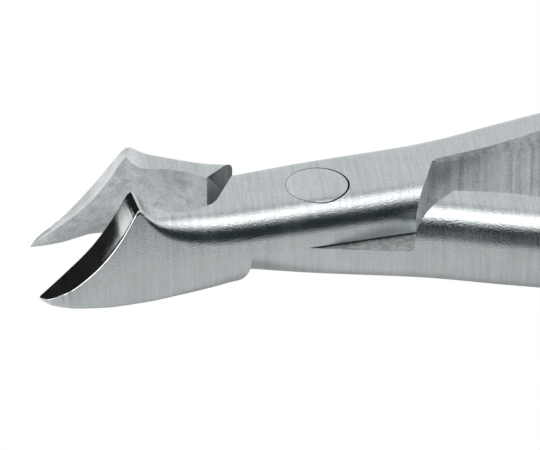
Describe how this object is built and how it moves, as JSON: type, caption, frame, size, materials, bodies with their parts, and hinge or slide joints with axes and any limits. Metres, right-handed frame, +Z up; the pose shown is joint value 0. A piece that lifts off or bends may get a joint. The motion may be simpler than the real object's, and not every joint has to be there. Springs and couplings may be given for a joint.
{
  "type": "sprue nippers",
  "caption": "Lap-jointed steel nippers with angled cutting jaws, a flush pivot pin and a double leaf return spring.",
  "frame": {"origin": "on the pivot axis at the flat lower end of the pivot pin, level with the underside", "axes": "+X along the handles, -X along the jaws, +Z up along the pivot axis, with the nippers resting open"},
  "size_m": [0.1267, 0.0556, 0.0122],
  "materials": {
    "forging": "satin ground stainless steel",
    "pin": "satin stainless steel, ground flush",
    "leaf": "polished spring steel",
    "screw": "turned stainless steel"
  },
  "bodies": {
    "upper": {"upper_half": "forging", "pivot_pin": "pin", "rear_leaf_spring": "leaf", "rear_spring_screw": "screw"},
    "lower": {"lower_half": "forging", "front_leaf_spring": "leaf", "front_spring_screw": "screw"}
  },
  "joints": [
    {"name": "pivot", "type": "hinge", "parent": "upper", "child": "lower", "pos_m": [0, 0, 0], "axis": [0, 0, 1], "range_deg": [0, 18], "stiffness_Nm_per_rad": 0.6, "deforming": ["rear_leaf_spring", "front_leaf_spring"]}
  ]
}
